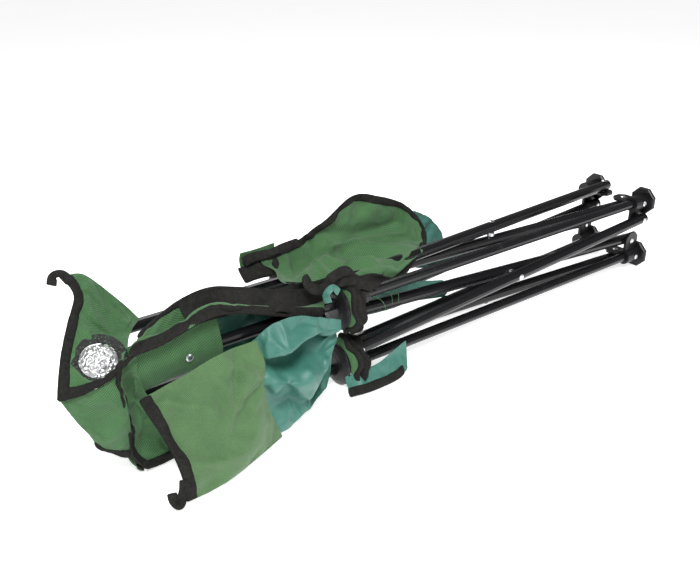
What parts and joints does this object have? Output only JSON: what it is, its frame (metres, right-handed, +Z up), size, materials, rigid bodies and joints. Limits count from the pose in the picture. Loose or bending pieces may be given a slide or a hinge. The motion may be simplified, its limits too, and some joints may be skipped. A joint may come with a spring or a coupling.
{
  "type": "folding camping armchair",
  "caption": "Folded camping armchair lying on its side: crossed steel tube legs, black brackets, and a green cloth seat, back and cup pocket gathered round the posts.",
  "frame": {"origin": "centre of the folded chair's bounding box, at the ground it lies on", "axes": "+X from the top of the chair to its feet, +Y from its back to its front, +Z up from the side it lies on"},
  "size_m": [1.032, 0.244, 0.2237],
  "materials": {
    "tube_paint": "glossy black powder coat",
    "bracket_plastic": "satin black moulded plastic",
    "rivet_steel": "zinc plated steel",
    "green_cloth": "woven polyester with a coated teal reverse and a black webbing binding",
    "foil_liner": "crinkled silver foil cloth"
  },
  "bodies": {
    "lower_back_corner": {"foot_bracket_c": "bracket_plastic", "back_post_c": "tube_paint", "rivet_post_c": "rivet_steel", "sleeve_screw_c": "rivet_steel", "back_sleeve_c": "green_cloth", "back_cloth_c": "green_cloth", "rivet_foot_bc_inner": "rivet_steel", "rivet_foot_cd_outer": "rivet_steel"},
    "bc_inner": {"tube_bc_inner": "tube_paint", "rivet_cross_bc": "rivet_steel"},
    "bc_outer": {"tube_bc_outer": "tube_paint"},
    "foot_b": {"foot_bracket_b": "bracket_plastic", "back_post_b": "tube_paint", "rivet_post_b": "rivet_steel", "sleeve_screw_b": "rivet_steel", "back_sleeve_b": "green_cloth", "rivet_foot_ab_inner": "rivet_steel", "rivet_foot_bc_outer": "rivet_steel"},
    "top_b": {"top_bracket_b": "bracket_plastic", "guard_disc_b": "bracket_plastic", "rivet_top_ab_outer": "rivet_steel", "rivet_top_bc_inner": "rivet_steel"},
    "top_c": {"top_bracket_c": "bracket_plastic", "guard_disc_c": "bracket_plastic", "rivet_top_bc_outer": "rivet_steel", "rivet_top_cd_inner": "rivet_steel"},
    "cd_outer": {"tube_cd_outer": "tube_paint", "rivet_cross_cd": "rivet_steel"},
    "cd_inner": {"tube_cd_inner": "tube_paint"},
    "foot_d": {"foot_bracket_d": "bracket_plastic", "rivet_foot_cd_inner": "rivet_steel", "rivet_foot_da_outer": "rivet_steel"},
    "top_d": {"top_bracket_d": "bracket_plastic", "guard_disc_d": "bracket_plastic", "arm_post_d": "tube_paint", "rivet_top_cd_outer": "rivet_steel", "rivet_top_da_inner": "rivet_steel"},
    "ab_inner": {"tube_ab_inner": "tube_paint", "rivet_cross_ab": "rivet_steel"},
    "ab_outer": {"tube_ab_outer": "tube_paint"},
    "foot_a": {"foot_bracket_a": "bracket_plastic", "rivet_foot_ab_outer": "rivet_steel", "rivet_foot_da_inner": "rivet_steel"},
    "top_a": {"top_bracket_a": "bracket_plastic", "guard_disc_a": "bracket_plastic", "arm_post_a": "tube_paint", "rivet_top_ab_inner": "rivet_steel", "rivet_top_da_outer": "rivet_steel"},
    "da_outer": {"tube_da_outer": "tube_paint", "rivet_cross_da": "rivet_steel"},
    "da_inner": {"tube_da_inner": "tube_paint"},
    "back_gather": {"back_cloth_b": "green_cloth"},
    "seat_upper": {"seat_lobe_b": "green_cloth"},
    "seat_upper_front": {"seat_lobe_a": "green_cloth"},
    "seat_lower": {"seat_flap_c": "green_cloth"},
    "seat_lower_front": {"seat_flap_d": "green_cloth"},
    "arm_upper": {"arm_strip_a": "green_cloth", "cup_pocket": "foil_liner"},
    "arm_lower": {"arm_strip_d": "green_cloth"}
  },
  "joints": [
    {"name": "unfold", "type": "hinge", "parent": "lower_back_corner", "child": "bc_inner", "pos_m": [0.494, -0.016, 0.0508], "axis": [0, 1, 0], "range_deg": [0, 40]},
    {"name": "bc_crossing", "type": "hinge", "parent": "bc_inner", "child": "bc_outer", "pos_m": [0.17977, -0.016, 0.0728], "axis": [0, 1, 0], "range_deg": [-80, 0]},
    {"name": "foot_b_hinge", "type": "hinge", "parent": "bc_outer", "child": "foot_b", "pos_m": [0.494, -0.016, 0.0948], "axis": [0, 1, 0], "range_deg": [0, 40]},
    {"name": "top_b_hinge", "type": "hinge", "parent": "bc_inner", "child": "top_b", "pos_m": [-0.13446, -0.016, 0.0948], "axis": [0, 1, 0], "range_deg": [-40, 0]},
    {"name": "top_c_hinge", "type": "hinge", "parent": "bc_outer", "child": "top_c", "pos_m": [-0.13446, -0.016, 0.0508], "axis": [0, 1, 0], "range_deg": [0, 40]},
    {"name": "cd_outer_hinge", "type": "hinge", "parent": "lower_back_corner", "child": "cd_outer", "pos_m": [0.494, 0.012, 0.0228], "axis": [0, 0, -1], "range_deg": [0, 40]},
    {"name": "cd_crossing", "type": "hinge", "parent": "cd_outer", "child": "cd_inner", "pos_m": [0.17977, 0.034, 0.0228], "axis": [0, 0, -1], "range_deg": [-80, 0]},
    {"name": "foot_d_hinge", "type": "hinge", "parent": "cd_inner", "child": "foot_d", "pos_m": [0.494, 0.056, 0.0228], "axis": [0, 0, -1], "range_deg": [0, 40]},
    {"name": "top_d_hinge", "type": "hinge", "parent": "cd_outer", "child": "top_d", "pos_m": [-0.13446, 0.056, 0.0228], "axis": [0, 0, -1], "range_deg": [-40, 0]},
    {"name": "ab_inner_hinge", "type": "hinge", "parent": "foot_b", "child": "ab_inner", "pos_m": [0.494, 0.012, 0.1228], "axis": [0, 0, -1], "range_deg": [0, 40]},
    {"name": "ab_crossing", "type": "hinge", "parent": "ab_inner", "child": "ab_outer", "pos_m": [0.17977, 0.034, 0.1228], "axis": [0, 0, -1], "range_deg": [-80, 0]},
    {"name": "foot_a_hinge", "type": "hinge", "parent": "ab_outer", "child": "foot_a", "pos_m": [0.494, 0.056, 0.1228], "axis": [0, 0, -1], "range_deg": [0, 40]},
    {"name": "top_a_hinge", "type": "hinge", "parent": "ab_inner", "child": "top_a", "pos_m": [-0.13446, 0.056, 0.1228], "axis": [0, 0, -1], "range_deg": [-40, 0]},
    {"name": "da_outer_hinge", "type": "hinge", "parent": "foot_d", "child": "da_outer", "pos_m": [0.494, 0.084, 0.0508], "axis": [0, 1, 0], "range_deg": [0, 40]},
    {"name": "da_inner_hinge", "type": "hinge", "parent": "foot_a", "child": "da_inner", "pos_m": [0.494, 0.084, 0.0948], "axis": [0, 1, 0], "range_deg": [-40, 0]},
    {"name": "back_spread", "type": "slide", "parent": "lower_back_corner", "child": "back_gather", "axis": [0, 0, 1], "range_m": [0, 0.39377], "deforming": ["back_cloth_b", "back_cloth_c", "back_sleeve_b", "back_sleeve_c"]},
    {"name": "seat_upper_turn", "type": "hinge", "parent": "top_b", "child": "seat_upper", "pos_m": [-0.13446, -0.016, 0.1428], "axis": [0, 1, 0], "range_deg": [0, 110], "deforming": ["seat_lobe_b"]},
    {"name": "seat_upper_spread", "type": "slide", "parent": "seat_upper", "child": "seat_upper_front", "axis": [0, 1, 0], "range_m": [0, 0.39377], "deforming": ["seat_lobe_a"]},
    {"name": "seat_lower_turn", "type": "hinge", "parent": "top_c", "child": "seat_lower", "pos_m": [-0.13446, -0.016, 0.0078], "axis": [0, 1, 0], "range_deg": [-90, 0], "deforming": ["seat_flap_c"]},
    {"name": "seat_lower_spread", "type": "slide", "parent": "seat_lower", "child": "seat_lower_front", "axis": [0, 1, 0], "range_m": [0, 0.39377], "deforming": ["seat_flap_d"]},
    {"name": "arm_upper_spread", "type": "slide", "parent": "foot_b", "child": "arm_upper", "axis": [0.4068, 0.9135, 0], "range_m": [0, 0.43105], "deforming": ["arm_strip_a", "cup_pocket"]},
    {"name": "arm_lower_spread", "type": "slide", "parent": "lower_back_corner", "child": "arm_lower", "axis": [0.4068, 0.9135, 0], "range_m": [0, 0.43105], "deforming": ["arm_strip_d"]}
  ],
  "couplings": [
    {"joint": "bc_crossing", "follows": "unfold", "ratio": -2},
    {"joint": "foot_b_hinge", "follows": "unfold", "ratio": 1},
    {"joint": "top_b_hinge", "follows": "unfold", "ratio": -1},
    {"joint": "top_c_hinge", "follows": "unfold", "ratio": 1},
    {"joint": "cd_outer_hinge", "follows": "unfold", "ratio": 1},
    {"joint": "cd_crossing", "follows": "unfold", "ratio": -2},
    {"joint": "foot_d_hinge", "follows": "unfold", "ratio": 1},
    {"joint": "top_d_hinge", "follows": "unfold", "ratio": -1},
    {"joint": "ab_inner_hinge", "follows": "unfold", "ratio": 1},
    {"joint": "ab_crossing", "follows": "unfold", "ratio": -2},
    {"joint": "foot_a_hinge", "follows": "unfold", "ratio": 1},
    {"joint": "top_a_hinge", "follows": "unfold", "ratio": -1},
    {"joint": "da_outer_hinge", "follows": "unfold", "ratio": 1},
    {"joint": "da_inner_hinge", "follows": "unfold", "ratio": -1},
    {"joint": "back_spread", "follows": "unfold", "m_per_rad": 0.5639},
    {"joint": "seat_upper_turn", "follows": "unfold", "ratio": 2.75},
    {"joint": "seat_upper_spread", "follows": "unfold", "m_per_rad": 0.5639},
    {"joint": "seat_lower_turn", "follows": "unfold", "ratio": -2.25},
    {"joint": "seat_lower_spread", "follows": "unfold", "m_per_rad": 0.5639},
    {"joint": "arm_upper_spread", "follows": "unfold", "m_per_rad": 0.61728},
    {"joint": "arm_lower_spread", "follows": "unfold", "m_per_rad": 0.61728}
  ]
}
